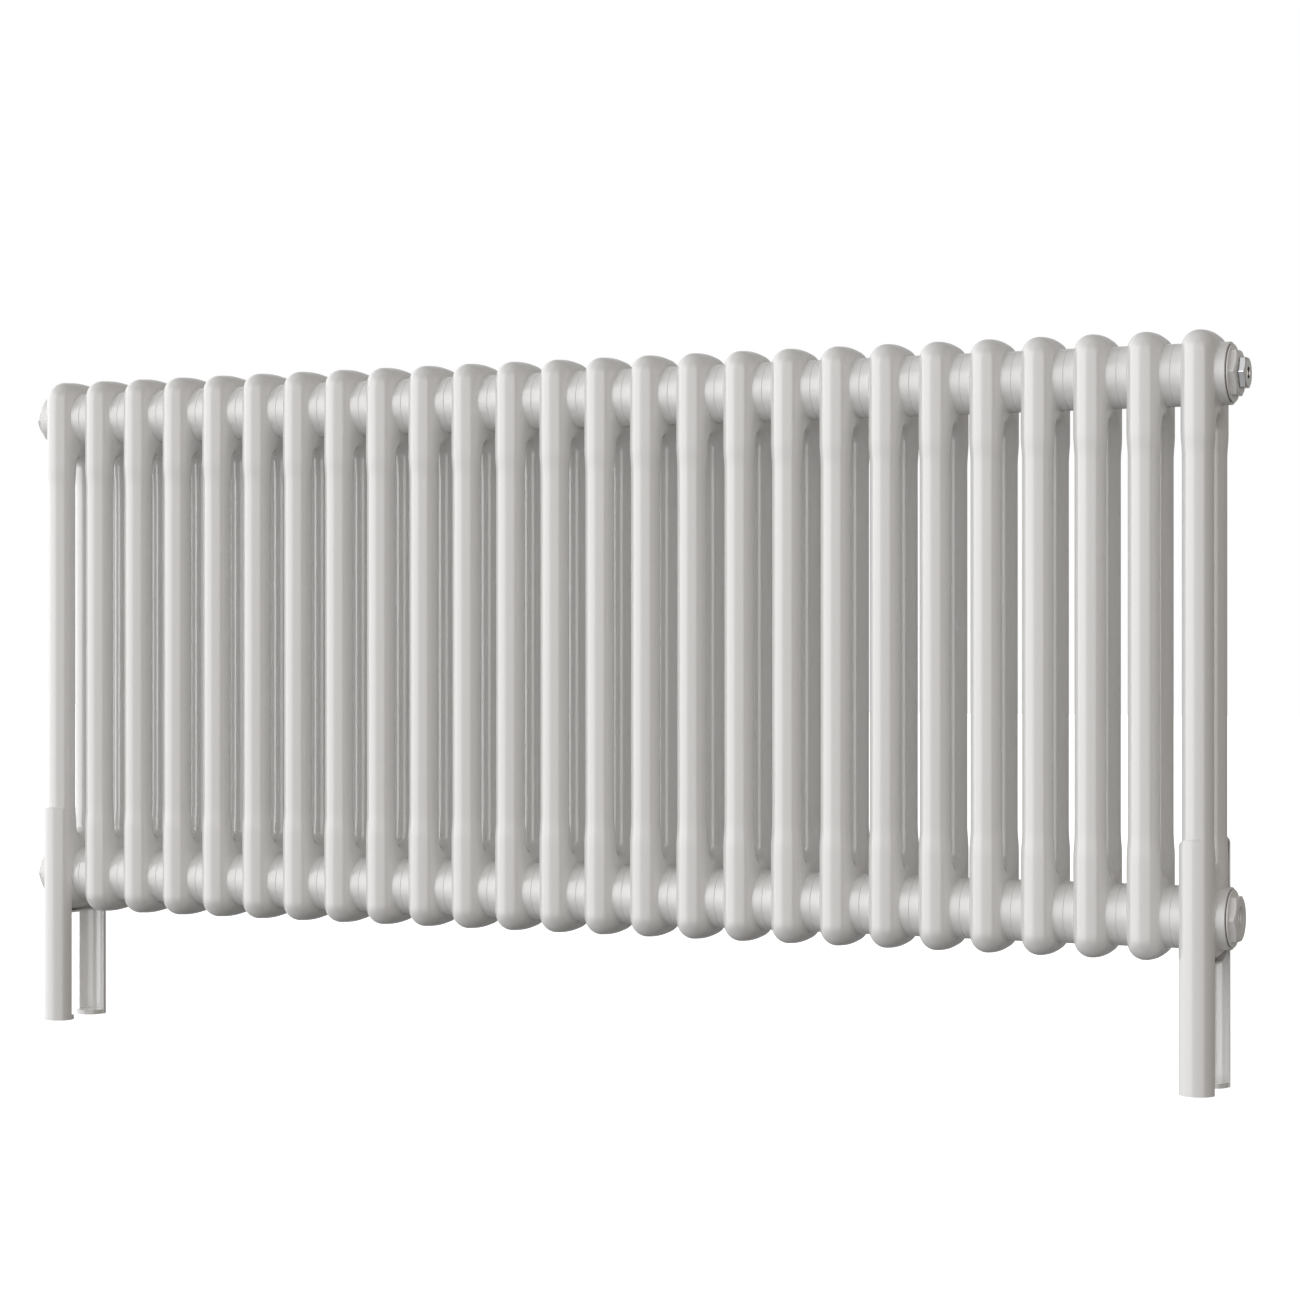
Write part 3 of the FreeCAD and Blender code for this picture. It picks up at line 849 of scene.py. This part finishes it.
def make_foot_base(row, end):
    """Round base disc with a floor-screw hole."""
    node = "foot_base_%s_%s" % (row, end)
    low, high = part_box(node)
    centre = (low + high) / 2
    radius = (high.x - low.x) / 2
    profile = eased_corner(low.z + SHEET_EDGE, radius, low.z, radius, low.z, radius - SHEET_EDGE)
    profile += eased_corner(low.z, FLOOR_SCREW_R + SHEET_EDGE, low.z, FLOOR_SCREW_R,
                            low.z + SHEET_EDGE, FLOOR_SCREW_R)
    profile += eased_corner(high.z - SHEET_EDGE, FLOOR_SCREW_R, high.z, FLOOR_SCREW_R,
                            high.z, FLOOR_SCREW_R + SHEET_EDGE)
    profile += eased_corner(high.z, radius - SHEET_EDGE, high.z, radius, high.z - SHEET_EDGE, radius)
    turns = round_angles(72)
    points = [(centre.x + r * math.cos(turn), centre.y + r * math.sin(turn), z)
              for z, r in profile for turn in turns]
    count = len(turns)
    faces = []
    for ring in range(len(profile)):
        a, b = ring * count, (ring + 1) % len(profile) * count
        faces += [(a + k, b + k, b + (k + 1) % count, a + (k + 1) % count) for k in range(count)]
    fit(soften(mesh_object("foot_disc_%s_%s" % (row, end), points, faces)), "powder_coat", [node])


def cradle_line(reach):
    """Half of the saddle's bent outline, from under the middle out and up, as (y, z) pairs."""
    bend_r = reach - SHOULDER_AT
    line = [(y, BOTTOM_Z - reach) for y in even_steps(0, SHOULDER_AT, 0.004)[:-1]]
    line += [(SHOULDER_AT + bend_r * math.sin(turn), BOTTOM_Z - SHOULDER_AT - bend_r * math.cos(turn))
             for turn in even_steps(0, math.pi / 2, 0.08)]
    return line + [(reach, z) for z in even_steps(BOTTOM_Z - SHOULDER_AT, BOTTOM_Z, 0.003)[1:]]


def make_saddle(end):
    """Bent strap under the bottom head, narrowing where it meets the shells."""
    centre_x = END_X if end == "right" else -END_X
    outer, inner = cradle_line(BOTTOM_Z - SADDLE_LOW_Z), cradle_line(HEAD_HALF)
    shell_r = FOOT_OUT_R - FOOT_WALL - WELD_GAP
    points, faces = [], []
    for side in (-1, 1):
        half_line = list(zip(outer, inner))
        for (y_out, z_out), (y_in, z_in) in half_line[:0:-1] if side < 0 else half_line:
            half = min(SADDLE_HALF_X, math.sqrt(max(shell_r ** 2 - max(y_out - FOOT_Y, 0) ** 2, 0)))
            points += [(centre_x - half, side * y_in, z_in), (centre_x - half, side * y_out, z_out),
                       (centre_x + half, side * y_out, z_out), (centre_x + half, side * y_in, z_in)]
    rows = len(points) // 4
    for row in range(rows - 1):
        for corner in range(4):
            a, b = row * 4 + corner, row * 4 + (corner + 1) % 4
            faces.append((a, b, b + 4, a + 4))
    faces += [(0, 1, 2, 3), tuple(rows * 4 - 1 - k for k in range(4))]
    thing = mesh_object("saddle_" + end, points, faces)
    ease_edges(thing, SHEET_EDGE, 2, 50)
    baked(thing)
    fit(soften(thing, 40), "powder_coat", ["foot_saddle_" + end])


def dress_packed_part(node, finish_name):
    """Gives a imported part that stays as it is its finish."""
    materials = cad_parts[node].data.materials
    materials.clear()
    materials.append(finish(finish_name))


# ---- studio -----------------------------------------------------------------------------------
def direction_ramp(tree, factor, stops):
    """Colour ramp read by a 0 to 1 factor."""
    ramp = tree.nodes.new("ShaderNodeValToRGB")
    while len(ramp.color_ramp.elements) < len(stops):
        ramp.color_ramp.elements.new(0.5)
    for element, (position, colour) in zip(ramp.color_ramp.elements, stops):
        element.position = position
        element.color = (*colour, 1)
    tree.links.new(factor, ramp.inputs["Fac"])
    return ramp.outputs["Color"]


def room_light(tree, around, up, walls, levels, strength):
    """Background whose brightness depends on the turn around Z and on the height of a direction."""
    wall = direction_ramp(tree, around, [((degrees + 180) / 360, colour) for degrees, colour in walls])
    level = direction_ramp(tree, up, [((height + 1) / 2, (gain, gain, gain)) for height, gain in levels])
    both = tree.nodes.new("ShaderNodeVectorMath")
    both.operation = "MULTIPLY"
    tree.links.new(wall, both.inputs[0])
    tree.links.new(level, both.inputs[1])
    light = tree.nodes.new("ShaderNodeBackground")
    light.inputs["Strength"].default_value = strength
    tree.links.new(both.outputs["Vector"], light.inputs["Color"])
    return light.outputs["Background"]


def make_world():
    """Studio surroundings: soft fill all round, tall panels that only reflections show, white backdrop."""
    world = bpy.data.worlds.new("studio")
    bpy.context.scene.world = world
    world.use_nodes = True
    tree = world.node_tree
    tree.nodes.clear()
    place = tree.nodes.new("ShaderNodeTexCoord")
    parts = tree.nodes.new("ShaderNodeSeparateXYZ")
    tree.links.new(place.outputs["Generated"], parts.inputs["Vector"])
    ahead = tree.nodes.new("ShaderNodeMath")
    ahead.operation = "MULTIPLY"
    ahead.inputs[1].default_value = -1
    tree.links.new(parts.outputs["Y"], ahead.inputs[0])
    turn = tree.nodes.new("ShaderNodeMath")
    turn.operation = "ARCTAN2"
    tree.links.new(parts.outputs["X"], turn.inputs[0])
    tree.links.new(ahead.outputs["Value"], turn.inputs[1])
    around = tree.nodes.new("ShaderNodeMapRange")
    around.inputs["From Min"].default_value = -math.pi
    around.inputs["From Max"].default_value = math.pi
    tree.links.new(turn.outputs["Value"], around.inputs["Value"])
    up = tree.nodes.new("ShaderNodeMapRange")
    up.inputs["From Min"].default_value = -1
    tree.links.new(parts.outputs["Z"], up.inputs["Value"])
    turned_by, raised_by = around.outputs["Result"], up.outputs["Result"]
    fill = room_light(tree, turned_by, raised_by, FILL_WALLS, FILL_LEVELS, FILL_STRENGTH)
    panels = room_light(tree, turned_by, raised_by, PANELS, PANEL_LEVELS, PANEL_STRENGTH)
    white = tree.nodes.new("ShaderNodeBackground")
    white.inputs["Color"].default_value = (1, 1, 1, 1)
    path = tree.nodes.new("ShaderNodeLightPath")
    lit = tree.nodes.new("ShaderNodeMixShader")
    tree.links.new(path.outputs["Is Glossy Ray"], lit.inputs["Fac"])
    tree.links.new(fill, lit.inputs[1])
    tree.links.new(panels, lit.inputs[2])
    seen = tree.nodes.new("ShaderNodeMixShader")
    tree.links.new(path.outputs["Is Camera Ray"], seen.inputs["Fac"])
    tree.links.new(lit.outputs["Shader"], seen.inputs[1])
    tree.links.new(white.outputs["Background"], seen.inputs[2])
    output = tree.nodes.new("ShaderNodeOutputWorld")
    tree.links.new(seen.outputs["Shader"], output.inputs["Surface"])


def make_floor():
    """Plain pale floor, bright enough to show as white and hidden from reflections and bounced light."""
    corners = [(-FLOOR_HALF, -FLOOR_HALF, 0), (FLOOR_HALF, -FLOOR_HALF, 0),
               (FLOOR_HALF, FLOOR_HALF, 0), (-FLOOR_HALF, FLOOR_HALF, 0)]
    floor = mesh_object("floor", corners, [(0, 1, 2, 3)])
    material, shader = new_material("pale_floor")
    shader.inputs["Base Color"].default_value = (0.85, 0.85, 0.85, 1)
    shader.inputs["Roughness"].default_value = 0.9
    shader.inputs["Specular IOR Level"].default_value = 0.0
    shader.inputs["Emission Color"].default_value = (1, 1, 1, 1)
    shader.inputs["Emission Strength"].default_value = 0.85
    floor.data.materials.append(material)
    floor.visible_diffuse = False
    floor.visible_glossy = False


def main():
    """Camera and studio first, then every piece of the radiator."""
    make_camera()
    bpy.context.scene.view_settings.view_transform = "Standard"
    make_world()
    make_floor()
    make_sections()
    for end in ("left", "right"):
        for level in ("top", "bottom"):
            make_bush(level, end)
            make_hub_gasket(level, end)
            dress_packed_part("end_ring_%s_%s" % (level, end), "bare_steel")
        for row in ("front", "rear"):
            make_foot_shell(row, end)
            make_foot_base(row, end)
        make_saddle(end)
    make_plug_seal("plug_seal_ring", True)
    make_plug_seal("vent_seal_ring", False)
    make_plug()
    make_vent()
    make_bleed_screw()
    dress_packed_part("bleed_tip_seal", "black_rubber")


main()
bpy.context.view_layer.update()
